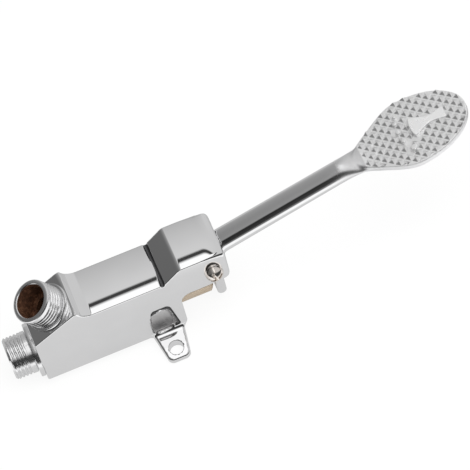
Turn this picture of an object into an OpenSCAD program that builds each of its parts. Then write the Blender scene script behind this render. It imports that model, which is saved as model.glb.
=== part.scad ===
// Foot pedal tap valve: a wall or floor valve with a bell crank pedal.
// The frame's origin is midway between the two foot holes, on the floor plane.
// +X runs towards the pedal, +Z up, and the near side of the photograph is -Y.

/* [Body] */
// Width of the body across the side faces
body_w = 26; // [24:0.5:32]
// Distance from the inlet end face to the line of the foot holes
end_to_holes = 62.3; // [58:0.1:70]
// Length of the lower block, from the inlet end face
block_len = 72.5; // [70:0.5:80]
// Gap between the underside of the block and the floor
floor_gap = 5; // [3.5:0.1:8]
// Height of the inlet end face's top edge above the floor
end_h = 37.3; // [34:0.1:40]
// Run of the inclined outlet face along the body
slant_run = 22.7; // [20:0.1:25]
// Tilt of the outlet from vertical
outlet_tilt = 30; // [25:0.5:35]
// Where the flare runs out on the barrel's top, from the end face
flare_end = 31; // [28:0.5:36]

/* [Barrel and head] */
// Height of the barrel's flat top above the floor
barrel_h = 45.2; // [44:0.1:47]
// Where the head's sloped face starts on the barrel's top
slope_start = 66.7; // [60:0.1:68]
// Where the head's sloped face reaches the head's top
slope_end = 75.4; // [72:0.1:78]
// Height of the head's top above the floor
head_h = 52.4; // [51.6:0.1:58]
// Rounding of the head's long edges
head_round = 1; // [0.5:0.25:2.5]
// Rounding of the head's top at its free end
end_round = 3.5; // [2:0.25:5]
// Where the head and fork end, from the end face
fork_end = 99; // [97:0.5:104]
// Height of the fork arms' underside above the floor
arm_under = 29.7; // [27:0.1:31]
// Radius of the arch between the block and the fork arms
arch_r = 5; // [3:0.5:6]
// Rounding of the fork arms' lower corner
arm_round = 4; // [2:0.5:6]
// Width of the slot that the lever swings in
slot_w = 12.6; // [12.2:0.1:14]
// Where the slot starts inside the head
slot_start = 75; // [72:0.5:78]
// Height of the slot's roof above the floor
slot_roof = 49.2; // [48.6:0.1:51]

/* [Feet] */
// Spacing of the two foot holes
hole_spacing = 45; // [42:0.5:52]
// Diameter of a foot hole
hole_d = 7; // [5:0.1:8]
// Width of a foot at the body
foot_root = 15.4; // [14:0.2:18]
// Width of a foot at its tip
foot_tip = 10.8; // [9.5:0.2:14]
// How far a foot's tip lies beyond its hole's centre
foot_beyond = 5.8; // [5:0.1:8]
// Corner radius of a foot's tip
foot_round = 2.6; // [1:0.1:4]
// Thickness of a foot at its tip
foot_t = 3.4; // [2.5:0.1:5]
// Thickness of a foot at the body
foot_root_t = 6; // [5.2:0.1:6.3]
// Width of the driver scoop in the side face above each foot
scoop_w = 12.2; // [10:0.1:14]
// Depth of the driver scoop
scoop_depth = 2.4; // [2:0.1:3.8]
// Height of the scoop's arched top above the floor
scoop_top = 24.2; // [20:0.1:27]
// Height of the scoop's lower edge above the floor
scoop_low = 6.4; // [5.5:0.1:8]

/* [Threads] */
// Outside diameter of both pipe threads
pipe_d = 20.955; // [16.662:0.001:26.441]
// Distance from the end face to the inlet's mouth
inlet_out = 14; // [12:0.5:20]
// Height of the inlet's axis above the floor
inlet_h = 14.65; // [14.2:0.05:16]
// Bore of the inlet
inlet_bore = 11; // [10.6:0.2:12]
// Diameter of the inlet's flange
flange_d = 27; // [24:0.5:28]
// Thickness of the inlet's flange
flange_t = 2.3; // [1.5:0.1:4]
// Distance from the outlet face to the outlet's mouth
outlet_out = 13; // [11:0.5:18]
// Where the outlet's axis leaves the outlet face, along the body
outlet_x = 12.4; // [11.8:0.1:13]
// Bore of the outlet's mouth
outlet_bore = 16; // [13:0.2:17]
// Diameter of the outlet's collar
collar_d = 23.4; // [22:0.2:24]
// Thickness of the outlet's collar
collar_t = 1.6; // [1:0.1:3]
// Diameter of the spigots that hold both nipples in the body
spigot_d = 15; // [14.4:0.1:15.6]
// Length of the outlet's spigot
spigot_len = 8; // [6:0.5:9]
// Diameter of the water way inside the body
water_d = 9; // [7:0.5:10]
// Thickness of the gaskets under the nipples
gasket_t = 1.2; // [0.8:0.1:2]
// Outside diameter of the gaskets under the nipples
gasket_d = 18.4; // [17:0.1:19]
// Thickness of the strainer
strainer_t = 1; // [0.8:0.1:1.5]
// Diameter of the strainer
strainer_d = 14.6; // [13.6:0.1:15]

/* [Valve] */
// Diameter of the push stem
stem_d = 11.4; // [10:0.1:12]
// Where the push stem's tip lies, from the end face
stem_tip = 91; // [88:0.1:92]
// Radius of the stem's domed tip
tip_r = 8; // [7:0.5:30]
// How far the stem slides when the pedal is pressed
stem_travel = 3.6; // [3:0.1:4]
// Diameter of the stem's spindle through the seat
spindle_d = 5; // [4:0.1:6]
// Diameter of the spindle's threaded end
stud_d = 4; // [3:0.1:4.6]
// Hole of the seat ring
seat_hole = 9.2; // [8:0.1:10]
// Thickness of the seat ring
seat_t = 3.3; // [2.5:0.1:4]
// Where the seat's lip lies, from the end face
seat_x = 15.2; // [14.4:0.1:16]
// Diameter of the disc holder and its washer
disc_d = 13; // [12:0.1:14]
// Thickness of the disc holder
holder_t = 3.2; // [2.5:0.1:4]
// Thickness of the rubber seat washer
washer_t = 2; // [1.5:0.1:2.5]
// Width across the flats of the disc nut
nut_w = 7; // [6:0.1:7.2]
// Thickness of the disc nut
nut_t = 3; // [2:0.1:3.4]
// Wire diameter of the return spring
wire_d = 0.9; // [0.6:0.05:1]
// Turns of the return spring
spring_turns = 6; // [4:0.5:8]
// Depth of the spring's pocket in the inlet nipple, from the end face outwards
spring_pocket = 5; // [3:0.5:7]
// Where the guide bore for the stem starts, from the end face
guide_start = 36; // [35:0.5:40]
// Diameter of the gland
gland_d = 14.8; // [14.2:0.1:15.6]
// Length of the gland nut
gland_len = 9.5; // [7:0.5:11]
// Thickness of the gland washer
gland_washer_t = 1.2; // [0.8:0.1:2]
// Thickness of the packing ring
packing_t = 3; // [2:0.1:4]
// Thickness of a stem seal ring
seal_t = 1.5; // [1.2:0.05:2]
// Distance between the two stem seals
seal_pitch = 6; // [4:0.5:8]

/* [Lever] */
// Where the pivot lies along the body, from the end face
pivot_x = 91; // [90:0.1:92]
// Height of the pivot above the floor
pivot_h = 39.5; // [38.5:0.1:40]
// Upward tilt of the lever's bar at rest
lever_tilt = 15; // [12:0.5:16]
// Diameter of the lever's bar
bar_d = 11.4; // [10:0.1:12]
// Height of the bar's axis over the pivot
bar_rise = 0.6; // [0:0.1:1]
// Length of the bar, from the pivot to the pad's neck
bar_len = 80; // [70:1:84]
// Diameter of the pivot boss
boss_d = 16; // [14:0.2:17]
// Side clearance of the lever in its slot
side_gap = 0.3; // [0.2:0.05:0.5]
// Width of the finger that pushes the stem
finger_w = 10.6; // [9:0.1:11.4]
// Height of the finger's tip above the floor
finger_low = 6; // [5:0.1:9]
// Radius of the finger's tip
finger_r = 2.3; // [1.8:0.1:3]
// Clearance between the finger and the stem's tip at rest
push_gap = 0.3; // [0.2:0.05:0.6]

/* [Pad] */
// Length of the pad's oval
pad_len = 53.6; // [45:0.2:70]
// Width of the pad's oval
pad_w = 37.2; // [30:0.2:46]
// Thickness of the pad, without its studs
pad_t = 4.2; // [3:0.1:6]
// Upward tilt of the pad
pad_tilt = 11.2; // [8:0.2:14]
// Distance from the pivot to the pad's centre along the bar
pad_reach = 114.3; // [105:0.1:140]
// Height of the pad's face over the bar's axis at the pad's centre
pad_lift = -0.4; // [-2:0.1:2]
// Pitch of the studs
stud_pitch = 3.6; // [3:0.1:5]
// Height of the studs
stud_h = 1; // [0.6:0.1:1.3]
// How far the neck reaches into the pad's oval
neck_in = 5; // [3:0.5:6]
// How far the neck's end stays inside the pad's faces
neck_step = 0.4; // [0.2:0.1:0.8]

/* [Pivot screw] */
// Diameter of the pivot screw
screw_d = 5; // [4:0.1:6]
// Diameter of the pivot screw's head
screw_head_d = 9; // [8:0.1:11]
// Height of the pivot screw's head
screw_head_h = 4.2; // [2:0.1:4.4]
// Width across the flats of the pivot nut
pivot_nut_w = 8; // [7:0.1:10]
// Thickness of the pivot nut
pivot_nut_t = 4; // [3:0.1:5]
// Thickness of the pivot washer
pivot_washer_t = 1; // [0.6:0.1:1.6]
// Outside diameter of the pivot washer
pivot_washer_d = 10; // [9:0.1:12]
// How far the screw's end stands out of its nut
screw_end = 1; // [0.5:0.1:2]
// Outside diameter of the bush in the lever's boss
bush_d = 8; // [7.4:0.1:9]

/* [Fits] */
// Radial clearance of running fits
run_fit = 0.05; // [0.02:0.01:0.1]
// Gap between pieces that move past each other
free_gap = 0.3; // [0.2:0.05:0.5]

/* [Hidden] */
$fn = 64;
hull_fn = 32;
over = 1;
x_end = -end_to_holes;
slant_top = end_h + slant_run * tan(outlet_tilt);
flare_land = 0.8;
flare_run = flare_end - slant_run - flare_land;
flare_drop = slant_top - barrel_h;
flare_r = (flare_run * flare_run + flare_drop * flare_drop) / (2 * flare_drop);
slope_angle = atan2(head_h - barrel_h, slope_end - slope_start);
hole_y = hole_spacing / 2;
foot_tip_y = hole_y + foot_beyond;
foot_slope = atan2(foot_root_t - foot_t, foot_tip_y - body_w / 2);
scoop_r = (scoop_w * scoop_w / 4 + scoop_depth * scoop_depth) / (2 * scoop_depth);
outlet_z = end_h + outlet_x * tan(outlet_tilt);
stem_r = stem_d / 2;
holder_x = seat_x - free_gap - washer_t - holder_t;
nut_x = holder_x - nut_t;
inlet_spigot = holder_x - stem_travel - free_gap;
seat_d = spigot_d + 2 * run_fit;
spring_len = holder_x + spring_pocket;
spring_r = inlet_bore / 2 - free_gap - wire_d / 2;
packing_x = block_len - gland_len - gland_washer_t - packing_t;
seal_r = (stem_d - seal_t) / 2;
seal_x = (guide_start + packing_x - seal_pitch) / 2;
boss_w = slot_w - 2 * side_gap;
finger_x = stem_tip + push_gap;
pad_face = pad_lift;
nut_face_y = body_w / 2 + pivot_washer_t;

// Places children whose own +Z axis then runs along +X on the inlet's axis.
module on_stem_axis(x) {
    translate([x_end + x, 0, inlet_h]) rotate([0, 90, 0]) children();
}

// Places children whose own +Z axis then points out of the outlet.
module on_outlet_axis(out) {
    translate([x_end + outlet_x, 0, outlet_z]) rotate([0, -outlet_tilt, 0]) translate([0, 0, out]) children();
}

// Places children whose own +Z axis then runs along the pivot, from y towards +Y.
module on_pivot_axis(y) {
    translate([x_end + pivot_x, y, pivot_h]) rotate([-90, 0, 0]) children();
}

// Extrudes a side view, drawn from the end face and the floor, across the body.
module across(w) {
    translate([x_end, 0, 0]) rotate([90, 0, 0]) linear_extrude(height = w, center = true) children();
}

module ring(d_out, d_in, t) {
    difference() {
        cylinder(d = d_out, h = t);
        translate([0, 0, -over]) cylinder(d = d_in, h = t + 2 * over);
    }
}

module hexagon(flats, t) {
    cylinder(d = flats / cos(30), h = t, $fn = 6);
}

// Side view of the block: end face, outlet face, flare, barrel's top and right end.
module block_side() {
    difference() {
        polygon([[0, floor_gap], [0, end_h], [slant_run, slant_top], [flare_end, slant_top],
            [flare_end, barrel_h], [slope_end, barrel_h], [slope_end, arm_under], [block_len, arm_under],
            [block_len, floor_gap]]);
        translate([flare_end, barrel_h + flare_r]) circle(r = flare_r);
    }
}

// Side view of the head and fork arms, with rounded free corners.
module head_side() {
    polygon([[slope_start, barrel_h], [slope_end, head_h], [fork_end - end_round, head_h],
        [fork_end - end_round, head_h - end_round], [fork_end, head_h - end_round],
        [fork_end, arm_under + arm_round], [fork_end - arm_round, arm_under], [block_len, arm_under],
        [block_len - over, barrel_h - over], [slope_start, barrel_h - over]]);
    translate([fork_end - end_round, head_h - end_round]) circle(r = end_round);
    translate([fork_end - arm_round, arm_under + arm_round]) circle(r = arm_round);
    difference() {
        translate([block_len - over, arm_under - arch_r]) square([arch_r + over, arch_r + over]);
        translate([block_len + arch_r, arm_under - arch_r]) circle(r = arch_r);
    }
}

// What a rounded edge along +X takes away, with the rounding's centre on the axis.
module edge_cut(len, r) {
    rotate([90, 0, 90]) linear_extrude(height = len) difference() {
        square([r + over, r + over]);
        circle(r = r);
    }
}

module head() {
    round_y = body_w / 2 - head_round;
    difference() {
        across(body_w) head_side();
        for (m = [0, 1]) mirror([0, m, 0]) {
            translate([x_end, round_y, head_h - head_round]) edge_cut(2 * fork_end, head_round);
            translate([x_end + slope_start, 0, barrel_h]) rotate([0, -slope_angle, 0])
                translate([-head_h, round_y, -head_round]) edge_cut(2 * fork_end, head_round);
        }
    }
}

// Outline of one foot, reaching from the body's middle to its tip on +Y.
module foot_outline() {
    hull() {
        translate([-foot_root / 2, 0]) square([foot_root, body_w / 2]);
        for (s = [-1, 1]) translate([s * (foot_tip / 2 - foot_round), foot_tip_y - foot_round])
            circle(r = foot_round, $fn = hull_fn);
    }
}

// Two feet that thin towards their tips, and the pad under the body between them.
module feet() {
    for (m = [0, 1]) mirror([0, m, 0]) difference() {
        linear_extrude(height = foot_root_t) foot_outline();
        translate([-body_w, foot_tip_y, foot_t]) rotate([-foot_slope, 0, 0])
            translate([0, -body_w, 0]) cube([2 * body_w, 2 * body_w, body_w]);
    }
    translate([-foot_root / 2, -body_w / 2, 0]) cube([foot_root, body_w, floor_gap + over]);
}

// Rounded scoop that gives a driver room above a foot hole.
module scoop() {
    translate([0, body_w / 2 - scoop_depth + scoop_r, scoop_low]) {
        cylinder(r = scoop_r, h = scoop_top - scoop_w / 2 - scoop_low);
        translate([0, 0, scoop_top - scoop_w / 2 - scoop_low]) sphere(r = scoop_r);
    }
}

// Slot that the lever swings in, with a round back end.
module lever_slot() {
    slot_low = arm_under - arch_r - over;
    translate([x_end + slot_start + slot_w / 2, 0, slot_low]) {
        cylinder(d = slot_w, h = slot_roof - slot_low);
        translate([0, -slot_w / 2, 0]) cube([fork_end, slot_w, slot_roof - slot_low]);
    }
}

// Stepped bore through the block, from the inlet end to the gland end.
module valve_bore() {
    on_stem_axis(-over) cylinder(d = gasket_d + 2 * run_fit, h = gasket_t + over);
    on_stem_axis(0) cylinder(d = seat_d, h = seat_x + seat_t);
    on_stem_axis(seat_x) cylinder(d = seat_d - 2 * over, h = guide_start - seat_x);
    on_stem_axis(seat_x) cylinder(r = stem_r + run_fit, h = block_len);
    on_stem_axis(packing_x) cylinder(d = gland_d + 2 * run_fit, h = block_len);
}

module outlet_way() {
    on_outlet_axis(-gasket_t) cylinder(d = gasket_d + 2 * run_fit, h = gasket_t + over);
    on_outlet_axis(-spigot_len - free_gap) cylinder(d = spigot_d + 2 * run_fit, h = spigot_len + body_w);
    on_outlet_axis(-(outlet_z - inlet_h) / cos(outlet_tilt)) cylinder(d = water_d, h = outlet_z - inlet_h);
}

module body() {
    color("silver") difference() {
        union() {
            across(body_w) block_side();
            head();
            feet();
        }
        lever_slot();
        valve_bore();
        outlet_way();
        for (m = [0, 1]) mirror([0, m, 0]) {
            scoop();
            translate([0, hole_y, -over]) cylinder(d = hole_d, h = foot_root_t + 2 * over);
        }
        on_pivot_axis(-body_w) cylinder(r = screw_d / 2 + run_fit, h = 2 * body_w);
    }
}

module inlet_nipple() {
    color("silver") difference() {
        union() {
            on_stem_axis(-inlet_out) cylinder(d = pipe_d, h = inlet_out - flange_t);
            on_stem_axis(-flange_t) cylinder(d = flange_d, h = flange_t);
            on_stem_axis(-over) cylinder(d = spigot_d, h = inlet_spigot + over);
        }
        on_stem_axis(-spring_pocket) cylinder(d = inlet_bore, h = spring_pocket + inlet_spigot + over);
        on_stem_axis(-inlet_out - over) cylinder(d = inlet_bore - 2 * wire_d - 2 * over, h = inlet_out);
        on_stem_axis(-inlet_out - over) cylinder(d = strainer_d + 2 * run_fit, h = strainer_t + 2 * over);
    }
}

module inlet_gasket() {
    color("dimgray") on_stem_axis(0) ring(gasket_d, spigot_d + 2 * run_fit, gasket_t);
}

module inlet_strainer() {
    hole_ring = strainer_d / 5;
    color("gray") on_stem_axis(-inlet_out + over) difference() {
        cylinder(d = strainer_d, h = strainer_t);
        translate([0, 0, -over]) cylinder(d = strainer_d / 9, h = strainer_t + 2 * over);
        for (a = [0 : 60 : 300]) rotate([0, 0, a]) translate([hole_ring, 0, -over])
            cylinder(d = strainer_d / 9, h = strainer_t + 2 * over);
    }
}

module outlet_nipple() {
    spigot_wall = 2;
    color("silver") difference() {
        union() {
            on_outlet_axis(0) cylinder(d = collar_d, h = collar_t);
            on_outlet_axis(0) cylinder(d = pipe_d, h = outlet_out);
            on_outlet_axis(-spigot_len) cylinder(d = spigot_d, h = spigot_len + over);
        }
        on_outlet_axis(collar_t) cylinder(d = outlet_bore, h = outlet_out);
        on_outlet_axis(-spigot_len - over) cylinder(d = spigot_d - 2 * spigot_wall, h = outlet_out + spigot_len);
    }
}

module outlet_gasket() {
    color("dimgray") on_outlet_axis(-gasket_t) ring(gasket_d, spigot_d + 2 * run_fit, gasket_t);
}

module valve_seat() {
    color("goldenrod") on_stem_axis(seat_x) ring(seat_d, seat_hole, seat_t);
}

module disc_holder() {
    color("goldenrod") on_stem_axis(holder_x) ring(disc_d, stud_d, holder_t);
}

module seat_washer() {
    color("dimgray") on_stem_axis(holder_x + holder_t) ring(disc_d, stud_d, washer_t);
}

module disc_nut() {
    color("goldenrod") on_stem_axis(nut_x) difference() {
        hexagon(nut_w, nut_t);
        translate([0, 0, -over]) cylinder(d = stud_d, h = nut_t + 2 * over);
    }
}

// Point of the spring's wire: turn t counts from 0, a goes round the wire.
function wire_point(t, a, rise) = [(spring_r + wire_d / 2 * cos(a)) * cos(360 * t),
    (spring_r + wire_d / 2 * cos(a)) * sin(360 * t), wire_d / 2 + rise * t + wire_d / 2 * sin(a)];

module return_spring() {
    sides = 6;
    steps = 12 * spring_turns;
    rise = (spring_len - wire_d) / spring_turns;
    points = [for (i = [0 : steps]) for (k = [0 : sides - 1]) wire_point(i / 12, 360 * k / sides, rise)];
    walls = [for (i = [0 : steps - 1]) for (k = [0 : sides - 1]) let (n = (k + 1) % sides)
        each [[i * sides + k, (i + 1) * sides + n, i * sides + n], [i * sides + k, (i + 1) * sides + k,
            (i + 1) * sides + n]]];
    first = [for (k = [1 : sides - 2]) [0, k, k + 1]];
    last = [for (k = [1 : sides - 2]) [steps * sides, steps * sides + k + 1, steps * sides + k]];
    color("lightgray") on_stem_axis(-spring_pocket) polyhedron(points, concat(walls, first, last));
}

module push_stem() {
    spindle_x = holder_x + holder_t + washer_t;
    color("darkgoldenrod") difference() {
        union() {
            on_stem_axis(nut_x) cylinder(d = stud_d, h = spindle_x - nut_x + over);
            on_stem_axis(spindle_x) cylinder(d = spindle_d, h = guide_start - spindle_x + over);
            on_stem_axis(guide_start) cylinder(d = stem_d, h = stem_tip - stem_r - guide_start);
            intersection() {
                on_stem_axis(stem_tip - stem_r - over) cylinder(d = stem_d, h = stem_r + over);
                on_stem_axis(stem_tip - tip_r) sphere(r = tip_r);
            }
        }
        for (i = [0, 1]) on_stem_axis(seal_x + i * seal_pitch - seal_t / 2 - run_fit)
            ring(stem_d + over, stem_d - 2 * seal_t, seal_t + 2 * run_fit);
    }
}

module stem_seals() {
    color("dimgray") for (i = [0, 1]) on_stem_axis(seal_x + i * seal_pitch)
        rotate_extrude() translate([seal_r, 0]) circle(d = seal_t);
}

module packing_ring() {
    color("white") on_stem_axis(packing_x) ring(gland_d, stem_d + 2 * run_fit, packing_t);
}

module gland_washer() {
    color("goldenrod") on_stem_axis(packing_x + packing_t) ring(gland_d, stem_d + 2 * run_fit, gland_washer_t);
}

module gland_nut() {
    slot_t = 1.6;
    color("goldenrod") difference() {
        on_stem_axis(block_len - gland_len) ring(gland_d, stem_d + 2 * run_fit, gland_len);
        on_stem_axis(block_len - slot_t) translate([-slot_t / 2, -gland_d, 0])
            cube([slot_t, 2 * gland_d, slot_t + over]);
    }
}

// Places children in the lever's own frame: +X along the bar, from the pivot.
module on_bar() {
    translate([x_end + pivot_x, 0, pivot_h]) rotate([0, -lever_tilt, 0]) translate([0, 0, bar_rise]) children();
}

// Places children in the pad's frame: +X along the pad, +Z out of its face.
module on_pad() {
    on_bar() translate([pad_reach, 0, pad_face]) rotate([0, lever_tilt - pad_tilt, 0]) children();
}

module pad_oval() {
    hull() scale([1, pad_w / pad_len]) circle(d = pad_len, $fn = hull_fn);
}

// Cone that thins the bar down to the pad, and the fan that spreads beside it.
module neck() {
    edge_x = pad_reach - pad_len / 2;
    fan_x = bar_len - pad_reach;
    fan_w = bar_d - 4 * neck_step;
    on_bar() translate([bar_len, 0, 0]) rotate([0, 90, 0])
        cylinder(d1 = bar_d - neck_step, d2 = pad_t, h = edge_x + neck_in - bar_len);
    on_pad() translate([0, 0, neck_step - pad_t]) linear_extrude(height = pad_t - 2 * neck_step)
        polygon([[fan_x, -fan_w / 2], [neck_in - pad_len / 2, -pad_w / 4], [neck_in - pad_len / 2, pad_w / 4],
            [fan_x, fan_w / 2]]);
}

// Crossed V grooves that leave rows of four sided studs on the pad's face.
module stud_grooves() {
    reach = ceil(pad_len / stud_pitch);
    groove = stud_pitch / 2;
    for (a = [-45, 45]) rotate([0, 0, a]) for (i = [-reach : reach])
        translate([-pad_len, i * stud_pitch, 0]) rotate([90, 0, 90])
            linear_extrude(height = 2 * pad_len) polygon([[-groove, stud_h / 10], [0, -stud_h], [groove, stud_h / 10]]);
}

module finger_side() {
    root = boss_d / 2 - over;
    tip_z = finger_low + finger_r;
    polygon([[pivot_x - root, pivot_h], [finger_x, inlet_h + stem_r + over], [finger_x, tip_z],
        [finger_x + 2 * finger_r, tip_z], [pivot_x + root, pivot_h]]);
    translate([finger_x + finger_r, tip_z]) circle(r = finger_r);
}

module pedal_lever() {
    color("silver") difference() {
        union() {
            on_pivot_axis(-boss_w / 2) cylinder(d = boss_d, h = boss_w);
            on_bar() rotate([0, 90, 0]) cylinder(d = bar_d, h = bar_len);
            across(finger_w) finger_side();
            neck();
            difference() {
                on_pad() translate([0, 0, -pad_t]) linear_extrude(height = pad_t + stud_h) pad_oval();
                on_pad() translate([0, 0, stud_h]) stud_grooves();
            }
        }
        on_pivot_axis(-body_w) cylinder(d = bush_d, h = 2 * body_w);
    }
}

module pivot_bush() {
    color("goldenrod") on_pivot_axis(-boss_w / 2) ring(bush_d, screw_d + 2 * run_fit, boss_w);
}

module pivot_screw() {
    dome_r = (screw_head_d * screw_head_d / 4 + screw_head_h * screw_head_h) / (2 * screw_head_h);
    color("lightgray") {
        on_pivot_axis(-body_w / 2 - over)
            cylinder(d = screw_d, h = over + body_w / 2 + nut_face_y + pivot_nut_t + screw_end);
        intersection() {
            on_pivot_axis(-body_w / 2 - screw_head_h) cylinder(d = screw_head_d, h = screw_head_h);
            on_pivot_axis(-body_w / 2 - screw_head_h + dome_r) sphere(r = dome_r);
        }
    }
}

module pivot_washer() {
    color("lightgray") on_pivot_axis(body_w / 2) ring(pivot_washer_d, screw_d + 2 * run_fit, pivot_washer_t);
}

module pivot_nut() {
    color("lightgray") on_pivot_axis(nut_face_y) difference() {
        hexagon(pivot_nut_w, pivot_nut_t);
        translate([0, 0, -over]) cylinder(d = screw_d, h = pivot_nut_t + 2 * over);
    }
}

body();
inlet_nipple();
inlet_gasket();
inlet_strainer();
outlet_nipple();
outlet_gasket();
valve_seat();
disc_holder();
seat_washer();
disc_nut();
return_spring();
push_stem();
stem_seals();
packing_ring();
gland_washer();
gland_nut();
pedal_lever();
pivot_bush();
pivot_screw();
pivot_washer();
pivot_nut();
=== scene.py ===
import math

import bpy
import numpy as np
from mathutils import Matrix, Vector


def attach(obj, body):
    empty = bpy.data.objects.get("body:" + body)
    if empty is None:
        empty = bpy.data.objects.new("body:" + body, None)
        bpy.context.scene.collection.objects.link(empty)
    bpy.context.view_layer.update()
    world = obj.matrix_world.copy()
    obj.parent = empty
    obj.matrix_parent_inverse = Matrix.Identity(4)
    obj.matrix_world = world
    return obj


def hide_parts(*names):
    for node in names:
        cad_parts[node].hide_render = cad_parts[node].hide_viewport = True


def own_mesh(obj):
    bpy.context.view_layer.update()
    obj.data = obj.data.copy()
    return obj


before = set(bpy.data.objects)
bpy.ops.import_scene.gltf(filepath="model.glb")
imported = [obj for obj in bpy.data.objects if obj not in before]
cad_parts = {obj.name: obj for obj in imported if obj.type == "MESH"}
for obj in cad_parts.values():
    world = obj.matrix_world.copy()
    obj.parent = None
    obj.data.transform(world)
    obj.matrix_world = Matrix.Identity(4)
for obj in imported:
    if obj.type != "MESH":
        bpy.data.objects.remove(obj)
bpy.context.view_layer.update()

# The studio: a pale floor and plain soft light. The side behind the camera is
# dark, and polished metal shows it as the black lines along its rounded edges.
MM = 0.001
scene = bpy.context.scene
scene.view_settings.view_transform = "Standard"


def add_node(tree, kind, inputs=None, **settings):
    node = tree.nodes.new(kind)
    for name, value in settings.items():
        setattr(node, name, value)
    for name, value in (inputs or {}).items():
        if isinstance(value, bpy.types.NodeSocket):
            tree.links.new(value, node.inputs[name])
        else:
            node.inputs[name].default_value = value
    return node


def grey(level):
    return (level, level, level, 1.0)


def grey_ramp(tree, socket, stops, ease="LINEAR"):
    ramp = add_node(tree, "ShaderNodeValToRGB", {"Fac": socket})
    ramp.color_ramp.interpolation = ease
    band = ramp.color_ramp.elements
    while len(band) < len(stops):
        band.new(0.5)
    for element, (place, level) in zip(band, stops):
        element.position = place
        element.color = level if isinstance(level, tuple) else grey(level)
    return ramp.outputs["Color"]


def share_between(tree, socket, low, high):
    """How far a value lies on the way from low to high, from 0 to 1."""
    return add_node(tree, "ShaderNodeMapRange", {"Value": socket, "From Min": low, "From Max": high}).outputs[0]


def multiply(tree, first, second):
    return add_node(tree, "ShaderNodeMix", {"Factor": 1.0, 6: first, 7: second},
                    data_type="RGBA", blend_type="MULTIPLY").outputs[2]


air = bpy.data.worlds.new("studio_air")
scene.world = air
air.use_nodes = True
tree = air.node_tree
tree.nodes.clear()
direction = add_node(tree, "ShaderNodeTexCoord").outputs["Generated"]
way = add_node(tree, "ShaderNodeSeparateXYZ", {0: direction})


def combine(tree, operation, *sockets):
    return add_node(tree, "ShaderNodeMath", dict(enumerate(sockets)), operation=operation).outputs[0]


def blend(tree, factor, first, second):
    return add_node(tree, "ShaderNodeMix", {"Factor": factor, 6: first, 7: second},
                    data_type="RGBA").outputs[2]


# Angle from straight up towards the front, where the camera stands.
front = combine(tree, "ARCTAN2", combine(tree, "MULTIPLY", way.outputs["Y"], -1.0), way.outputs["Z"])
turn_share = share_between(tree, front, -math.pi, math.pi)


def at_degrees(*stops):
    return [((degrees + 180) / 360, level) for degrees, level in stops]


side_share = share_between(tree, way.outputs["X"], -1.0, 1.0)
left_wall = grey_ramp(tree, side_share, [(0.0, 0.12), (0.18, 0.155), (0.28, 0.23), (0.34, 0.30),
                                         (0.42, 0.34), (1.0, 0.34)])
back_wall = grey_ramp(tree, turn_share, at_degrees((-90, 0.42), (-47, 0.44), (-29, 0.68),
                                                   (0, 0.7), (90, 0.7)))
walls = blend(tree, grey_ramp(tree, side_share, [(0.36, 0.0), (0.47, 1.0)], "EASE"), left_wall, back_wall)
walls = blend(tree, grey_ramp(tree, side_share, [(0.56, 0.0), (0.66, 1.0)], "EASE"), walls, grey(0.64))
dark_front = grey_ramp(tree, turn_share, at_degrees((42, 1.0), (52, 0.07), (180, 0.07)))
SOFTBOX_X, SOFTBOX_TURN = 0.06, math.radians(6)
SOFTBOX_HALF_W, SOFTBOX_HALF_TURN, SOFTBOX_ROUND = 0.18, math.radians(32.5), 0.17


def past_straight(value, middle, half):
    """How far a direction lies beyond the straight part of one of the softbox's sides."""
    off = combine(tree, "ABSOLUTE", combine(tree, "SUBTRACT", value, middle))
    return combine(tree, "MAXIMUM", combine(tree, "SUBTRACT", off, half - SOFTBOX_ROUND), 0.0)


past_x = past_straight(way.outputs["X"], SOFTBOX_X, SOFTBOX_HALF_W)
past_turn = past_straight(front, SOFTBOX_TURN, SOFTBOX_HALF_TURN)
past = combine(tree, "SQRT", combine(tree, "ADD", combine(tree, "MULTIPLY", past_x, past_x),
                                     combine(tree, "MULTIPLY", past_turn, past_turn)))
inside = combine(tree, "SUBTRACT", SOFTBOX_ROUND, past)
FRAME_W = 0.024
lit_part = share_between(tree, inside, -0.004, 0.012)
frame_part = share_between(tree, inside, -FRAME_W - 0.008, -FRAME_W + 0.004)
studio = blend(tree, frame_part, multiply(tree, walls, dark_front), grey(0.05))
studio = blend(tree, lit_part, studio, grey(1.12))
path = add_node(tree, "ShaderNodeLightPath")
shown = combine(tree, "MAXIMUM", path.outputs["Is Glossy Ray"], path.outputs["Is Transmission Ray"])
seen = blend(tree, shown, grey(0.55), studio)
behind = blend(tree, path.outputs["Is Camera Ray"], seen, grey(1.0))
light = add_node(tree, "ShaderNodeBackground", {"Color": behind, "Strength": 1.0})
add_node(tree, "ShaderNodeOutputWorld", {"Surface": light.outputs[0]})

FLOOR_HALF = 3.0
FLOOR_Z = -0.0002
floor_mesh = bpy.data.meshes.new("floor")
floor_corners = [(a * FLOOR_HALF, b * FLOOR_HALF, FLOOR_Z) for a, b in ((-1, -1), (1, -1), (1, 1), (-1, 1))]
floor_mesh.from_pydata(floor_corners, [], [(0, 1, 2, 3)])
floor = bpy.data.objects.new("floor", floor_mesh)
scene.collection.objects.link(floor)
pale = bpy.data.materials.new("floor_with_painted_reflection")
pale.use_nodes = True
tree = pale.node_tree
tree.nodes.clear()
# How far a spot lies outside the rectangle under the object, and on which side.
UNDER_MIDDLE, UNDER_HALF, UNDER_REACH = (0.03, 0.0, 0.0), (0.095, 0.013, 1.0), 0.3


def vector_step(operation, first, second=(0.0, 0.0, 0.0)):
    return add_node(tree, "ShaderNodeVectorMath", {0: first, 1: second}, operation=operation).outputs[0]


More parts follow.
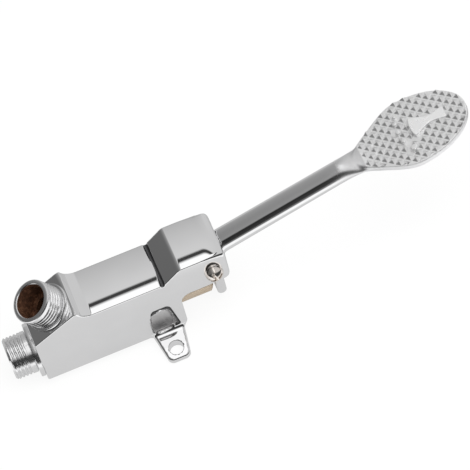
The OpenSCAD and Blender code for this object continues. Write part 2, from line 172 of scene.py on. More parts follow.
spot = vector_step("SUBTRACT", add_node(tree, "ShaderNodeTexCoord").outputs["Object"], UNDER_MIDDLE)
spot_y = add_node(tree, "ShaderNodeSeparateXYZ", {0: spot}).outputs["Y"]
spot = vector_step("MAXIMUM", vector_step("SUBTRACT", vector_step("ABSOLUTE", spot), UNDER_HALF))
reach = add_node(tree, "ShaderNodeVectorMath", {0: spot}, operation="LENGTH").outputs["Value"]
reach = share_between(tree, reach, 0.0, UNDER_REACH)
# What mirrors see of the floor is painted: painted shade close around the object, then a painted bright band a
# little brighter than white, then dark far out in front, and a painted grey behind. The camera sees the floor
# plain white.
painted_floor_front = grey_ramp(tree, reach, [(0.0, 0.60), (0.1, 0.64), (0.15, 1.05), (0.42, 1.05),
                                     (0.66, 0.06), (1.0, 0.05)])
painted_floor_back = grey_ramp(tree, reach, [(0.0, 0.45), (1.0, 0.52)])
painted_floor_reflection = blend(tree, share_between(tree, spot_y, -0.005, 0.005), painted_floor_front, painted_floor_back)
path = add_node(tree, "ShaderNodeLightPath")
floor_shade = blend(tree, path.outputs["Is Camera Ray"], painted_floor_reflection, grey(1.0))
lit = add_node(tree, "ShaderNodeEmission", {"Color": floor_shade, "Strength": 1.0})
matt = add_node(tree, "ShaderNodeBsdfDiffuse", {"Color": grey(0.95)})
both = add_node(tree, "ShaderNodeMixShader", {0: 0.12, 1: lit.outputs[0], 2: matt.outputs[0]})
add_node(tree, "ShaderNodeOutputMaterial", {"Surface": both.outputs[0]})
floor_mesh.materials.append(pale)

lamp = bpy.data.lights.new("overhead_lamp", "AREA")
lamp.energy = 9.0
lamp.size = 0.9
lamp_holder = bpy.data.objects.new("overhead_lamp", lamp)
lamp_holder.location = (0.15, -0.25, 0.95)
lamp_holder.rotation_euler = (math.radians(15), math.radians(8), 0)
lamp_holder.visible_glossy = False
scene.collection.objects.link(lamp_holder)

CAMERA_RIGHT = (0.92414, -0.35550, -0.13996)
CAMERA_UP = (0.37355, 0.76381, 0.52635)
CAMERA_BACK = (-0.08022, -0.53870, 0.83867)
CAMERA_AIM = (44.88, 0.0, 42.08)
CAMERA_DISTANCE = 1200.0
view_data = bpy.data.cameras.new("view")
view_data.sensor_width = 36.0
view_data.lens = 194.2
view = bpy.data.objects.new("view", view_data)
view_place = (Vector(CAMERA_AIM) + CAMERA_DISTANCE * Vector(CAMERA_BACK)) * MM
view.matrix_world = Matrix([(*row, place) for row, place in
                            zip(zip(CAMERA_RIGHT, CAMERA_UP, CAMERA_BACK), view_place)] + [(0, 0, 0, 1)])
scene.collection.objects.link(view)
scene.camera = view

# The body: one casting in brass, ground, polished and chrome plated. A square
# end block carries both threads, a flat topped barrel runs to the fork head,
# and two feet with screw holes stand out at the sides.
END_X = -62.3
BODY_HALF_W = 13.0
BARREL_H = 45.2
TOP_CROWN_R = 170.0
END_H, RIDGE_H = 37.3, 50.406
FLARE_X, FLARE_R = 31.0, 8.005
BLOCK_LEN, FLOOR_GAP = 72.5, 5.0
SLOPE_X, SLOPE_TOP_X, HEAD_H, FORK_X, ARM_H = 66.7, 75.4, 52.4, 99.0, 29.7
OUTLET_X, OUTLET_H, OUTLET_TILT = 12.4, 44.459, math.radians(30)
STEM_H = 14.65
PIVOT = (28.7, 0.0, 39.5)
PIVOT_HOLE_R = 2.55
FOOT_HALF_W, FOOT_TIP_Y, FOOT_TIP_T = 7.7, 28.3, 3.4
FOOT_HOLE_R, FOOT_HOLE_Y = 3.5, 22.5
SLOT_X, SLOT_HALF_W, SLOT_TOP, SLOT_BOTTOM = 81.3, 6.3, 49.2, 23.7
# Bores as (start, end, diameter) along the stem's axis and along the outlet's.
STEM_BORES = ((-1, 1.2, 18.5), (-1, 18.5, 15.1), (15, 36, 13.1), (15, 80, 11.5), (58.8, 80, 14.9))
OUTLET_BORES = ((-1.2, 3, 18.5), (-8.3, 20, 15.1), (-34.4, 0, 9))


def corner_round(a, b, r):
    """Where two solids meet in an outer edge, rounded to radius r."""
    return np.minimum(np.maximum(a, b), -r) + np.hypot(np.maximum(a + r, 0), np.maximum(b + r, 0))


def valley_round(a, b, r):
    """Where two solids meet in an inner corner, filled to radius r."""
    return np.maximum(np.minimum(a, b), r) - np.hypot(np.maximum(r - a, 0), np.maximum(r - b, 0))


def ease(value, start, stop):
    t = np.clip((value - start) / (stop - start), 0, 1)
    return t * t * (3 - 2 * t)


def cast_skin(name, field, low, high, step):
    """A smooth quad mesh on the surface where field, in millimetres, is zero."""
    axes = [np.arange(a, b + step, step) for a, b in zip(low, high)]
    values = field(*np.meshgrid(*axes, indexing="ij"))
    inside = values < 0
    cells = np.array(values.shape) - 1
    total, count, quads = np.zeros((*cells, 3)), np.zeros(cells), []
    for axis in range(3):
        head = [slice(None)] * 3
        tail = [slice(None)] * 3
        head[axis], tail[axis] = slice(None, -1), slice(1, None)
        edge = np.argwhere(inside[tuple(head)] != inside[tuple(tail)])
        following = edge.copy()
        following[:, axis] += 1
        here, there = values[tuple(edge.T)], values[tuple(following.T)]
        point = np.stack([axes[k][edge[:, k]] for k in range(3)], 1)
        point[:, axis] += step * here / (here - there)
        one, two = [k for k in range(3) if k != axis]
        ring = []
        for a, b in ((0, 0), (1, 0), (1, 1), (0, 1)):
            cell = edge.copy()
            cell[:, one] -= a
            cell[:, two] -= b
            ring.append(cell)
            np.add.at(total, tuple(cell.T), point)
            np.add.at(count, tuple(cell.T), 1)
        flip = (here < 0) == (axis == 1)
        ring = np.stack(ring, 1)
        ring[flip] = ring[flip][:, ::-1]
        quads.append(ring)
    number = np.full(cells, -1)
    used = np.argwhere(count > 0)
    number[tuple(used.T)] = np.arange(len(used))
    points = total[tuple(used.T)] / count[tuple(used.T)][:, None]
    quads = np.concatenate(quads)
    faces = number[quads[..., 0], quads[..., 1], quads[..., 2]]

    def slope_of(p, reach=0.02):
        parts = []
        for k in range(3):
            off = np.zeros(3)
            off[k] = reach
            parts.append((field(*(p + off).T) - field(*(p - off).T)) / (2 * reach))
        return np.stack(parts, 1)

    for _ in range(4):
        lean = slope_of(points)
        size = np.maximum((lean ** 2).sum(1), 0.25)
        shift = (field(*points.T) / size)[:, None] * lean
        points -= np.clip(shift, -step, step)
    normals = slope_of(points)
    normals /= np.maximum(np.linalg.norm(normals, axis=1), 1e-9)[:, None]
    mesh = bpy.data.meshes.new(name)
    mesh.from_pydata((points * MM).tolist(), [], faces.tolist())
    mesh.polygons.foreach_set("use_smooth", np.ones(len(mesh.polygons), bool))
    mesh.normals_split_custom_set_from_vertices(normals.tolist())
    piece = bpy.data.objects.new(name, mesh)
    scene.collection.objects.link(piece)
    return piece


def bore(x, y, z, start, stop, d):
    return np.maximum(np.hypot(y, z - STEM_H) - d / 2, np.maximum(start - x, x - stop))


def outlet_bore(x, y, z, start, stop, d):
    along = -math.sin(OUTLET_TILT) * (x - OUTLET_X) + math.cos(OUTLET_TILT) * (z - OUTLET_H)
    beside = math.cos(OUTLET_TILT) * (x - OUTLET_X) + math.sin(OUTLET_TILT) * (z - OUTLET_H)
    return np.maximum(np.hypot(beside, y) - d / 2, np.maximum(start - along, along - stop))


SCOOP_X, SCOOP_H, SCOOP_HALF_W, SCOOP_HALF_H = 60.7, 15.4, 5.8, 8.9
SCOOP_RIM, SCOOP_BOWL = 0.8, 0.9


def scoop_dent(x, z):
    """Depth of the driver scoop, a smooth bowl with a four sided outline."""
    up = (z - SCOOP_H - 0.08 * (x - SCOOP_X)) / SCOOP_HALF_H
    across = (x - SCOOP_X + 0.05 * (z - SCOOP_H)) / (SCOOP_HALF_W * (1 - 0.12 * np.clip(up, -1, 1)))
    share = np.maximum(1 - np.sqrt(across ** 4 + up ** 4), 0)
    return SCOOP_RIM * ease(share, 0.0, 0.3) + SCOOP_BOWL * share


GROOVE_R = 1.2


def groove_reach(x, y, z):
    """Distance from the middle of the grinder's groove at the foot of the slope."""
    middle_z = BARREL_H + 1.0 - 0.65 * ease(np.abs(y + 2.0), 2.0, 11.0)
    return np.hypot(x - SLOPE_X + 0.7, z - middle_z)


def casting(frame_x, frame_y, z):
    x, y = frame_x - END_X, np.abs(frame_y)
    top_z = z + y * y / (2 * TOP_CROWN_R)
    # End block and barrel, with the slanted outlet face and the hollow flare behind its ridge.
    slant = -math.sin(OUTLET_TILT) * x + math.cos(OUTLET_TILT) * (z - END_H)
    over_barrel = top_z - BARREL_H
    flare = np.where(x < FLARE_X, FLARE_R - np.hypot(x - FLARE_X, over_barrel - FLARE_R), over_barrel)
    low_part = corner_round(corner_round(-x, FLOOR_GAP - z, 1.0), slant, 0.5)
    low_part = corner_round(low_part, np.maximum(flare, top_z - RIDGE_H), 0.6)
    low_part = corner_round(low_part, corner_round(x - BLOCK_LEN, FLOOR_GAP - z, 4.0), 0.1)
    # Head with its sloped face and fork arms, filleted into the barrel and the block.
    rise = math.atan2(HEAD_H - BARREL_H, SLOPE_TOP_X - SLOPE_X)
    slope = -math.sin(rise) * (x - SLOPE_X) + math.cos(rise) * over_barrel
    head = corner_round(slope, top_z - HEAD_H + np.maximum(x - 89.0, 0) ** 2 / 120.0, 0.8)
    head = corner_round(head, corner_round(x - FORK_X, ARM_H - z, 4.0), 3.5)
    solid = valley_round(low_part, head, np.where(z < 38.0, 5.0, 0.8))
    solid = corner_round(solid, GROOVE_R - groove_reach(x, frame_y, top_z), 0.12)
    side = corner_round(y - BODY_HALF_W + scoop_dent(x, z), x - FORK_X - 0.2, 2.2)
    solid = corner_round(solid, side, 0.5 + 1.2 * ease(x, 82.0, 97.0))
    # Feet, thinner towards their tips.
    wide = FOOT_HALF_W - 0.15 * (y - BODY_HALF_W)
    foot = corner_round(np.abs(frame_x) - wide, y - FOOT_TIP_Y, 2.6)
    foot = corner_round(foot, np.maximum(z - FOOT_TIP_T - 0.17 * (FOOT_TIP_Y - y), -z), 1.1)
    stand = np.maximum(np.maximum(np.abs(frame_x) - FOOT_HALF_W, y - 12.2), np.maximum(z - 6.0, -z))
    solid = valley_round(solid, np.minimum(foot, stand), 2.2)
    # Hollows: lever slot, screw holes and bores.
    slot = np.where(x < SLOT_X, np.hypot(x - SLOT_X, frame_y), y) - SLOT_HALF_W
    slot = np.maximum(slot, np.maximum(z - SLOT_TOP, SLOT_BOTTOM - z))
    solid = corner_round(solid, -slot, 0.5)
    solid = corner_round(solid, FOOT_HOLE_R - np.hypot(frame_x, y - FOOT_HOLE_Y), 0.35)
    for start, stop, d in STEM_BORES:
        solid = np.maximum(solid, -bore(x, y, z, start, stop, d))
    for start, stop, d in OUTLET_BORES:
        solid = np.maximum(solid, -outlet_bore(x, y, z, start, stop, d))
    return np.maximum(solid, PIVOT_HOLE_R - np.hypot(frame_x - PIVOT[0], z - PIVOT[2]))


def finish_base(name, colour, metal, rough):
    """A material with its shader, whose tree the finish then adds to."""
    made = bpy.data.materials.new(name)
    made.use_nodes = True
    shader = made.node_tree.nodes["Principled BSDF"]
    shader.inputs["Base Color"].default_value = (*colour, 1.0)
    shader.inputs["Metallic"].default_value = metal
    shader.inputs["Roughness"].default_value = rough
    return made, made.node_tree, shader


def noise(tree, scale, detail=3.0, rough=0.5, stretch=None):
    where = add_node(tree, "ShaderNodeTexCoord").outputs["Object"]
    if stretch:
        where = add_node(tree, "ShaderNodeVectorMath", {0: where, 1: stretch},
                         operation="MULTIPLY").outputs[0]
    return add_node(tree, "ShaderNodeTexNoise", {"Vector": where, "Scale": scale, "Detail": detail,
                                                 "Roughness": rough}).outputs["Fac"]


def bump(tree, shader, height, distance):
    made = add_node(tree, "ShaderNodeBump", {"Height": height, "Distance": distance, "Strength": 1.0})
    tree.links.new(made.outputs[0], shader.inputs["Normal"])


def plated(name, tint, rough_low, rough_high, wave):
    """Chrome plate: cloudy polish marks and the slow waves of a hand held wheel."""
    made, tree, shader = finish_base(name, tint, 1.0, rough_low)
    polish = noise(tree, 260.0, 4.0, 0.6)
    smear = grey_ramp(tree, polish, [(0.35, rough_low), (0.7, rough_high)])
    tree.links.new(smear, shader.inputs["Roughness"])
    cloud = grey_ramp(tree, noise(tree, 45.0, 2.0), [(0.3, tuple(0.96 * c for c in tint) + (1.0,)),
                                                   (0.7, (*tint, 1.0))])
    tree.links.new(cloud, shader.inputs["Base Color"])
    bump(tree, shader, noise(tree, 70.0, 1.0), wave)
    return made


CHROME_TINT = (0.90, 0.90, 0.905)
chrome = plated("polished_chrome", CHROME_TINT, 0.012, 0.03, 0.000006)
body = cast_skin("body_casting", casting, (-64.0, -30.0, -1.0), (38.0, 30.0, 55.0), 0.5)
body.data.materials.append(chrome)
# The wheel doesn't reach into the scoops, so the plate stays duller there.
body.data.materials.append(plated("dull_scoop_plate", (0.78, 0.77, 0.77), 0.28, 0.36, 0.000008))
centres = np.array([part.center for part in body.data.polygons]) / MM
out_y = np.abs(centres[:, 1])
in_scoop = ((np.abs(centres[:, 0]) < 9) & (out_y < BODY_HALF_W - 0.12) & (out_y > 10.5)
            & (centres[:, 2] > 6.2) & (centres[:, 2] < 26))
# The groove's faces get a near black plate: painted shade in the crease at the foot of the slope.
body.data.materials.append(plated("painted_shade_groove", (0.14, 0.14, 0.145), 0.3, 0.5, 0.00002))
crowned = centres[:, 2] + centres[:, 1] ** 2 / (2 * TOP_CROWN_R)
shaded_groove_faces = groove_reach(centres[:, 0] - END_X, centres[:, 1], crowned) < GROOVE_R + 0.04
body.data.polygons.foreach_set("material_index", np.where(shaded_groove_faces, 2, in_scoop).astype(np.int32))
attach(body, "valve")
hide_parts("body")

# The inlet and outlet nipples: turned brass with a pipe thread, chrome plated
# outside and left raw in the bore. Each stands on a gasket in the end block.
THREAD_PITCH = 1.814
THREAD_DEPTH = 0.6
RAW_BORE_TINT = (0.16, 0.075, 0.04)


def thread_dip(along, start, stop):
    """Depth of the thread's groove at turns, fading out at both ends."""
    turn = along / THREAD_PITCH % 1.0
    groove = THREAD_DEPTH * np.clip(1.5 - 5.0 * np.abs(turn - 0.5), 0.0, 1.0)
    fade = np.clip((along - start) / 0.9, 0, 1) * np.clip((stop - along) / 0.9, 0, 1)
    return groove * fade


def turned(name, outline, thread, matrix, steps=128):
    """A turned piece from its outline of (along, radius, finish).

    Its thread is given as (start, end, least radius that is cut).
    """
    points, faces, slots = [], [], []
    for along, radius, _ in outline:
        for i in range(steps):
            angle = 2 * math.pi * i / steps
            dip = 0.0
            if thread and radius > thread[2]:
                lead = THREAD_PITCH * i / steps
                dip = thread_dip(along - lead, thread[0] - lead, thread[1] - lead)
            points.append(((radius - dip) * math.cos(angle), (radius - dip) * math.sin(angle), along))
    rows = len(outline)
    for row in range(rows):
        following = (row + 1) % rows
        for i in range(steps):
            n = (i + 1) % steps
            faces.append((row * steps + i, row * steps + n, following * steps + n, following * steps + i))
            slots.append(outline[row][2])
    mesh = bpy.data.meshes.new(name)
    mesh.from_pydata([matrix @ (Vector(p) * MM) for p in points], [], faces)
    mesh.polygons.foreach_set("material_index", slots)
    mesh.polygons.foreach_set("use_smooth", np.ones(len(faces), bool))
    mesh.set_sharp_from_angle(angle=math.radians(32))
    piece = bpy.data.objects.new(name, mesh)
    scene.collection.objects.link(piece)
    return piece


def thread_rows(start, stop, radius):
    count = int(abs(stop - start) / THREAD_PITCH * 16)
    return [(start + (stop - start) * i / count, radius, 0) for i in range(count + 1)]


raw_brass, tree, shader = finish_base("raw_bore", RAW_BORE_TINT, 0.6, 0.55)
stain = grey_ramp(tree, noise(tree, 420.0, 5.0, 0.65), [(0.3, (0.035, 0.018, 0.012, 1.0)),
                                                       (0.55, (0.15, 0.07, 0.04, 1.0)),
                                                       (0.75, (0.32, 0.17, 0.10, 1.0))])
tree.links.new(stain, shader.inputs["Base Color"])
bump(tree, shader, noise(tree, 900.0, 3.0), 0.0002)
chrome_thread = plated("plated_thread", (0.88, 0.88, 0.885), 0.15, 0.25, 0.00001)

PIPE_R = 10.4775
INLET_OUT, FLANGE_T, FLANGE_R = 14.0, 2.3, 13.5
inlet_place = (Matrix.Translation(Vector((END_X, 0, STEM_H)) * MM)
               @ Matrix.Rotation(math.radians(-90), 4, "Y"))
inlet_outline = [(-5.8, 7.5, 0), (-5.8, 5.5, 1), (5.0, 5.5, 1), (5.0, 3.6, 1), (12.0, 3.6, 1),
                 (12.0, 7.35, 1), (13.6, 7.35, 1), (14.0, 7.7, 0), (14.0, 9.4, 0), (13.2, 10.3, 0)]
inlet_outline += thread_rows(INLET_OUT - 1.0, FLANGE_T + 0.5, PIPE_R)
inlet_outline += [(FLANGE_T + 0.2, 9.7, 0), (FLANGE_T, 9.9, 0), (FLANGE_T, FLANGE_R - 0.5, 0),
                  (FLANGE_T - 0.15, FLANGE_R - 0.15, 0), (FLANGE_T - 0.5, FLANGE_R, 0), (0.3, FLANGE_R, 0),
                  (0.0, FLANGE_R - 0.3, 0), (0.0, 7.5, 0)]
inlet = turned("inlet_thread", inlet_outline, (FLANGE_T + 2.4, INLET_OUT - 0.4, 10.4), inlet_place)
inlet.data.materials.append(chrome_thread)
inlet.data.materials.append(raw_brass)
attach(inlet, "valve")
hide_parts("inlet_nipple")

OUTLET_OUT, COLLAR_R, COLLAR_T = 13.0, 11.7, 1.6
outlet_place = (Matrix.Translation(Vector((END_X + OUTLET_X, 0, OUTLET_H)) * MM)
                @ Matrix.Rotation(-OUTLET_TILT, 4, "Y"))
outlet_outline = [(-8.0, 7.5, 0), (-8.0, 5.5, 1), (1.6, 5.5, 1), (1.6, 8.0, 1), (12.4, 8.0, 1),
                  (12.7, 8.15, 0), (13.0, 8.5, 0), (13.0, 9.7, 0), (12.75, 10.2, 0), (12.3, 10.45, 0)]
outlet_outline += thread_rows(OUTLET_OUT - 0.8, COLLAR_T + 0.6, PIPE_R)
outlet_outline += [(COLLAR_T + 0.3, 9.8, 0), (COLLAR_T, 10.0, 0), (COLLAR_T, COLLAR_R - 0.4, 0),
                   (COLLAR_T - 0.12, COLLAR_R - 0.12, 0), (COLLAR_T - 0.4, COLLAR_R, 0), (0.0, COLLAR_R, 0),
                   (0.0, 7.5, 0)]
outlet = turned("outlet_thread", outlet_outline, (COLLAR_T + 1.3, OUTLET_OUT - 2.0, 10.4), outlet_place)
outlet.data.materials.append(chrome_thread)
outlet.data.materials.append(raw_brass)
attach(outlet, "valve")
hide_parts("outlet_nipple")

# The water way inside: gaskets, strainer, seat, disc with its rubber washer and
# nut, and the stem's seals. Brass, steel and rubber, seen only when apart.
brass, tree, shader = finish_base("turned_brass", (0.62, 0.45, 0.24), 1.0, 0.3)
tarnish = grey_ramp(tree, noise(tree, 180.0, 4.0, 0.6), [(0.3, (0.50, 0.36, 0.19, 1.0)),
                                                         (0.7, (0.66, 0.49, 0.28, 1.0))])
tree.links.new(tarnish, shader.inputs["Base Color"])
tool_lines = noise(tree, 900.0, 2.0, 0.5, (6.0, 0.4, 0.4))
tree.links.new(grey_ramp(tree, tool_lines, [(0.3, 0.24), (0.7, 0.42)]), shader.inputs["Roughness"])
bump(tree, shader, tool_lines, 0.00003)

rubber, tree, shader = finish_base("black_rubber", (0.022, 0.022, 0.024), 0.0, 0.75)
dust = grey_ramp(tree, noise(tree, 500.0, 4.0), [(0.35, 0.016), (0.75, 0.045)])
tree.links.new(dust, shader.inputs["Base Color"])
bump(tree, shader, noise(tree, 1600.0, 2.0), 0.00005)

packing, tree, shader = finish_base("greased_packing", (0.72, 0.70, 0.64), 0.0, 0.6)
grease = grey_ramp(tree, noise(tree, 600.0, 4.0), [(0.3, (0.60, 0.57, 0.50, 1.0)),
                                                   (0.7, (0.80, 0.79, 0.74, 1.0))])
tree.links.new(grease, shader.inputs["Base Color"])
bump(tree, shader, noise(tree, 1500.0, 3.0), 0.00006)

steel, tree, shader = finish_base("bright_steel", (0.66, 0.64, 0.61), 1.0, 0.2)
drawn = noise(tree, 700.0, 3.0, 0.5)
tree.links.new(grey_ramp(tree, drawn, [(0.3, 0.14), (0.7, 0.3)]), shader.inputs["Roughness"])
steel_tint = grey_ramp(tree, noise(tree, 150.0), [(0.3, (0.58, 0.56, 0.53, 1.0)),
                                                  (0.7, (0.70, 0.68, 0.66, 1.0))])
tree.links.new(steel_tint, shader.inputs["Base Color"])


def dress(material, *nodes):
    for name in nodes:
        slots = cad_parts[name].data.materials
        slots.clear()
        slots.append(material)


dress(brass, "valve_seat", "disc_holder", "disc_nut", "gland_washer", "gland_nut", "pivot_bush")
dress(rubber, "inlet_gasket", "outlet_gasket", "seat_washer", "stem_seals")
dress(packing, "packing_ring")
dress(steel, "inlet_strainer", "pivot_washer", "pivot_nut")

# The return spring: hard drawn steel wire coiled in the inlet's pocket, which
# closes the valve.
SPRING_R, WIRE_R, SPRING_LEN, SPRING_TURNS, STROKE = 4.75, 0.45, 14.7, 6, 3.6
SPRING_END_X = END_X - 5.0
STEPS, SIDES = 24 * SPRING_TURNS, 10
points, faces = [], []
for i in range(STEPS + 1):
    turn = 2 * math.pi * SPRING_TURNS * i / STEPS
    along = SPRING_END_X + WIRE_R + (SPRING_LEN - 2 * WIRE_R) * i / STEPS
    for k in range(SIDES):
        angle = 2 * math.pi * k / SIDES
        reach = SPRING_R + WIRE_R * math.cos(angle)
        points.append((along + WIRE_R * math.sin(angle), reach * math.cos(turn),
                       STEM_H + reach * math.sin(turn)))
for i in range(STEPS):
    for k in range(SIDES):
        n = (k + 1) % SIDES
        faces.append((i * SIDES + k, (i + 1) * SIDES + k, (i + 1) * SIDES + n, i * SIDES + n))
faces.append(tuple(range(SIDES)))
faces.append(tuple(reversed(range(STEPS * SIDES, (STEPS + 1) * SIDES))))
mesh = bpy.data.meshes.new("return_coil")
mesh.from_pydata([Vector(p) * MM for p in points], [], faces)
mesh.polygons.foreach_set("use_smooth", np.ones(len(faces), bool))
coil = bpy.data.objects.new("return_coil", mesh)
scene.collection.objects.link(coil)
mesh.materials.append(steel)
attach(coil, "valve")
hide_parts("return_spring")
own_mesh(coil)

# The push stem: a turned brass rod with a domed tip, left bare, which the
# pedal's finger drives against the spring to lift the disc off its seat.
bare_stem, tree, shader = finish_base("bare_brass_stem", (0.78, 0.65, 0.50), 0.7, 0.45)
worn = grey_ramp(tree, noise(tree, 120.0, 4.0, 0.6, (0.3, 1.0, 1.0)), [(0.3, (0.64, 0.52, 0.39, 1.0)),
                                                                   (0.7, (0.82, 0.70, 0.55, 1.0))])
tree.links.new(worn, shader.inputs["Base Color"])
rub = noise(tree, 800.0, 3.0, 0.5, (0.15, 1.0, 1.0))
tree.links.new(grey_ramp(tree, rub, [(0.3, 0.34), (0.7, 0.52)]), shader.inputs["Roughness"])
bump(tree, shader, rub, 0.00003)
dress(bare_stem, "push_stem")

# The pedal: one brass forging, chrome plated. A round bar swings on the pivot
# screw, flattens through a neck into an oval pad, and ends below the pivot in
# the finger that pushes the stem.
LEVER_TILT, BAR_RISE = math.radians(15), 0.6
PAD_TILT, PAD_REACH, PAD_LIFT, PAD_T = math.radians(11.2), 114.3, -0.4, 4.2
PAD_HALF_L, PAD_HALF_W = 29.2, 18.2
NECK_START, NECK_END = 74.0, 92.5
BOSS_R, BOSS_HALF_W, BUSH_HOLE_R = 8.0, 6.0, 4.0
FINGER_HALF_W, TIP_X, TIP_H, TIP_R = 5.3, 31.3, 8.3, 2.3
bar_x = np.array((math.cos(LEVER_TILT), 0, math.sin(LEVER_TILT)))
bar_z = np.array((-math.sin(LEVER_TILT), 0, math.cos(LEVER_TILT)))
pad_x = np.array((math.cos(PAD_TILT), 0, math.sin(PAD_TILT)))
pad_z = np.array((-math.sin(PAD_TILT), 0, math.cos(PAD_TILT)))
pad_middle = np.array(PIVOT) + bar_x * PAD_REACH + bar_z * (BAR_RISE + PAD_LIFT)


def oval(u, v, half_l, half_w):
    long_share, wide_share = u / half_l, v / half_w
    reach = np.sqrt(long_share ** 2 + wide_share ** 2) + 1e-9
    lean = np.sqrt((long_share / half_l) ** 2 + (wide_share / half_w) ** 2) + 1e-9
    return reach * (reach - 1) / lean


def pad_outline(u, v):
    """The pad's oval, which tapers on the side of the neck."""
    return oval(u + 2.0, v / (1 - 0.27 * ease(-u, 3.0, 27.0)), PAD_HALF_L, PAD_HALF_W)


def flow(a, b, r):
    """Two solids that flow into each other over about r."""
    share = np.maximum(r - np.abs(a - b), 0) / r
    return np.minimum(a, b) - share * share * r / 4


def forging(x, y, z):
    away = x - PIVOT[0], z - PIVOT[2]
    along = away[0] * bar_x[0] + away[1] * bar_x[2]
    above = away[0] * bar_z[0] + away[1] * bar_z[2] - BAR_RISE
    spread = ease(along, NECK_START, NECK_END)
    bar_r = 5.85 - 0.35 * along / 80
    bar = oval(above + 0.9 * spread, y, bar_r - (bar_r - 0.9) * spread, bar_r + 2.2 * spread)
    bar = np.maximum(bar, np.maximum(-along, along - NECK_END))
    u = (x - pad_middle[0]) * pad_x[0] + (z - pad_middle[2]) * pad_x[2]
    w = (x - pad_middle[0]) * pad_z[0] + (z - pad_middle[2]) * pad_z[2]
    pad = corner_round(pad_outline(u, y), w, 0.5)
    pad = corner_round(pad, -w - PAD_T, 1.8)
    arm = flow(bar, pad, 2.2)
    swing = np.hypot(*away)
    boss = corner_round(swing - BOSS_R, np.abs(y) - BOSS_HALF_W, 0.6)
    taper_front = 0.9278 * (21.7 - x) + 0.3732 * (PIVOT[2] - z)
    taper_back = 0.9977 * (x - TIP_X - TIP_R) - 0.0671 * (z - TIP_H)
    taper = np.maximum(np.maximum(taper_front, taper_back), np.maximum(z - PIVOT[2], 19.0 - z))
    tip = np.where(z < TIP_H, np.hypot(x - TIP_X, z - TIP_H), np.abs(x - TIP_X)) - TIP_R
    tip = np.maximum(tip, z - 24.0)
    finger = corner_round(np.minimum(taper, tip), np.abs(y) - FINGER_HALF_W, 0.8)
    solid = np.minimum(flow(arm, boss, 2.0), finger)
    return np.maximum(solid, BUSH_HOLE_R - swing)


lever_chrome = plated("polished_lever", CHROME_TINT, 0.04, 0.11, 0.00005)
# The wheel polishes the bar; the neck and the pad's face keep a blasted satin.
tree = lever_chrome.node_tree
shader = tree.nodes["Principled BSDF"]
polished = shader.inputs["Roughness"].links[0].from_socket
place = add_node(tree, "ShaderNodeTexCoord").outputs["Object"]
outward = add_node(tree, "ShaderNodeSeparateXYZ", {0: place}).outputs["X"]
blasted = share_between(tree, outward, 0.090, 0.107)
grain = grey_ramp(tree, noise(tree, 900.0, 3.0), [(0.3, 0.38), (0.7, 0.5)])
tree.links.new(blend(tree, blasted, polished, grain), shader.inputs["Roughness"])
lever = cast_skin("pedal_forging", forging, (18.0, -20.0, 4.0), (169.0, 20.0, 77.0), 0.5)
lever.data.materials.append(lever_chrome)
satin = plated("satin_chrome", (0.93, 0.93, 0.93), 0.36, 0.48, 0.00002)
satin.node_tree.nodes["Principled BSDF"].inputs["Metallic"].default_value = 0.75
lever.data.materials.append(satin)
centres = np.array([part.center for part in lever.data.polygons]) / MM - pad_middle
on_face = (centres @ pad_z > -0.45) & (centres @ pad_x > -27.2)
lever.data.polygons.foreach_set("material_index", on_face.astype(np.int32))
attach(lever, "pedal")
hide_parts("pedal_lever")

# The pad's studs: rows of blunt four sided points struck into the forging, so
# that a wet shoe doesn't slip. They run out at the pad's rim.
STUD_PITCH, STUD_HALF, STUD_H = 3.6, 1.46, 0.95
TOES = ((-5.6, 10.0, 0.95), (-6.8, 6.2, 1.15), (-7.2, 1.3, 1.25), (-6.5, -4.2, 1.4), (-3.6, -10.0, 1.8))
pad_place = Matrix([(pad_x[k], (0, 1, 0)[k], pad_z[k], pad_middle[k] * MM) for k in range(3)]
                   + [(0, 0, 0, 1)])
turn45 = math.sqrt(0.5)


def inside_rim(u, v, edge=0.35):
    """The nearest place to (u, v) that keeps inside the pad's rim."""
    for _ in range(6):
        beyond = float(pad_outline(np.array(u), np.array(v))) + edge
        if beyond <= 0:
            break
        reach = math.hypot(u / PAD_HALF_L ** 2, v / PAD_HALF_W ** 2)
        u -= beyond * u / PAD_HALF_L ** 2 / reach
        v -= beyond * v / PAD_HALF_W ** 2 / reach
    return u, v


def sole_outline(u, v):
    half = 5.7 - 3.7 * ease(u, -2.5, 9.5) + 1.0 * ease(u, 9.5, 16.0)
    return corner_round((np.abs(v - 0.4) - half) * 0.9, np.abs(u - 7.6 - 0.04 * v * v) - 9.0, 1.0)


points, faces = [], []
reach = int(PAD_HALF_L / STUD_PITCH) + 2
for i in range(-reach, reach + 1):
    for j in range(-reach, reach + 1):
        square_u, square_v = i * STUD_PITCH, j * STUD_PITCH
        centre = (turn45 * (square_u - square_v), turn45 * (square_u + square_v))
        if pad_outline(np.array(centre[0]), np.array(centre[1])) > 0.2 or centre[0] < -27.0:
            continue
        on_toe = any(math.dist(centre, toe[:2]) < toe[2] + 0.3 for toe in TOES)
        if on_toe or sole_outline(*map(np.array, centre)) < 0.4:
            continue
        base = len(points)
        for half, height in ((STUD_HALF, -0.4), (STUD_HALF, 0.02), (0.4, 0.9 * STUD_H), (0.2, STUD_H)):
            for a, b in ((-1, -1), (1, -1), (1, 1), (-1, 1)):
                su, sv = square_u + a * half, square_v + b * half
                points.append((*inside_rim(turn45 * (su - sv), turn45 * (su + sv)), height))
        for low in range(base, base + 12, 4):
            for k in range(4):
                n = (k + 1) % 4
                faces.append((low + k, low + n, low + 4 + n, low + 4 + k))
        faces.append((base + 12, base + 13, base + 14, base + 15))
        faces.append((base + 3, base + 2, base + 1, base))
mesh = bpy.data.meshes.new("pad_studs")
mesh.from_pydata([pad_place @ (Vector(p) * MM) for p in points], [], faces)
studs = bpy.data.objects.new("pad_studs", mesh)
scene.collection.objects.link(studs)
stud_plate = plated("struck_stud_plate", (0.90, 0.90, 0.90), 0.3, 0.42, 0.00002)
stud_plate.node_tree.nodes["Principled BSDF"].inputs["Metallic"].default_value = 0.9
mesh.materials.append(stud_plate)
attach(studs, "pedal")

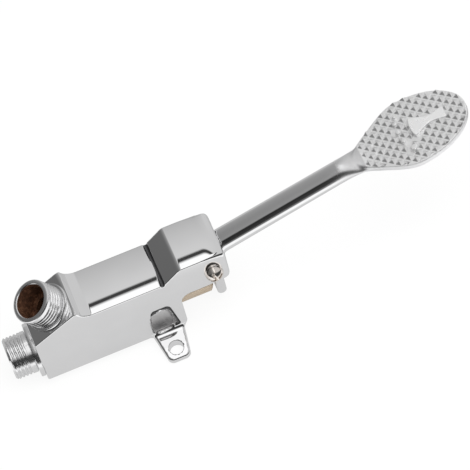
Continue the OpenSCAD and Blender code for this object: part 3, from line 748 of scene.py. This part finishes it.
# The sign on the pad: a plain raised sole with round toes, cast with the pad,
# that only says which part takes the foot.
def sole(x, y, z):
    u = (x - pad_middle[0]) * pad_x[0] + (z - pad_middle[2]) * pad_x[2]
    w = (x - pad_middle[0]) * pad_z[0] + (z - pad_middle[2]) * pad_z[2]
    raised = corner_round(sole_outline(u, y), w - 1.45 + 0.07 * (u - 7.6) - 0.05 * y, 0.4)
    for toe_u, toe_v, toe_r in TOES:
        dome = corner_round(np.hypot(u - toe_u, y - toe_v) - toe_r, w - 1.9, 0.7)
        raised = np.minimum(raised, dome)
    return np.maximum(raised, -0.3 - w)


sign = cast_skin("foot_sign", sole, (126.0, -12.0, 64.0), (160.0, 12.0, 76.0), 0.3)
sign_plate = plated("bright_sign_plate", (0.95, 0.95, 0.95), 0.26, 0.36, 0.00001)
sign_plate.node_tree.nodes["Principled BSDF"].inputs["Metallic"].default_value = 0.78
sign.data.materials.append(sign_plate)
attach(sign, "pedal")

# The pivot: a nickel plated pan head screw with a cross recess through both
# fork arms, with a washer and nut on the far side.
SCREW_R, HEAD_R, HEAD_T, RIM_T = 2.5, 4.5, 4.9, 1.0
RECESS_HALF_W, RECESS_REACH = 0.62, 3.4
DOME_R = (HEAD_R ** 2 + (HEAD_T - RIM_T) ** 2) / (2 * (HEAD_T - RIM_T))


def pan_head(x, y, z):
    out = -BODY_HALF_W - y
    ring = np.hypot(x - PIVOT[0], z - PIVOT[2])
    dome = np.hypot(ring, out - HEAD_T + DOME_R) - DOME_R
    head = corner_round(np.maximum(dome, ring - HEAD_R), -out, 0.2)
    turn = math.radians(20)
    a = (x - PIVOT[0]) * math.cos(turn) + (z - PIVOT[2]) * math.sin(turn)
    b = (z - PIVOT[2]) * math.cos(turn) - (x - PIVOT[0]) * math.sin(turn)
    a, b = np.abs(a), np.abs(b)
    recess = np.minimum(np.maximum(a - RECESS_HALF_W, b - RECESS_REACH),
                        np.maximum(b - RECESS_HALF_W, a - RECESS_REACH))
    recess = np.maximum(recess, ring * 0.25 + 2.3 - out)
    head = corner_round(head, -recess, 0.25)
    shank = np.maximum(ring - SCREW_R, np.maximum(y - 19.0, -BODY_HALF_W - 0.5 - y))
    return np.minimum(head, shank)


nickel, tree, shader = finish_base("bright_nickel", (0.88, 0.83, 0.78), 1.0, 0.12)
nickel_tint = grey_ramp(tree, noise(tree, 420.0, 3.0), [(0.3, (0.80, 0.73, 0.67, 1.0)),
                                                        (0.7, (0.92, 0.88, 0.84, 1.0))])
tree.links.new(nickel_tint, shader.inputs["Base Color"])
nickel_wear = grey_ramp(tree, noise(tree, 800.0, 3.0), [(0.3, 0.08), (0.7, 0.2)])
tree.links.new(nickel_wear, shader.inputs["Roughness"])
screw = cast_skin("pivot_pan_screw", pan_head, (22.5, -18.5, 33.5), (34.5, 20.0, 45.5), 0.25)
screw.data.materials.append(nickel)
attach(screw, "valve")
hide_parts("pivot_screw")
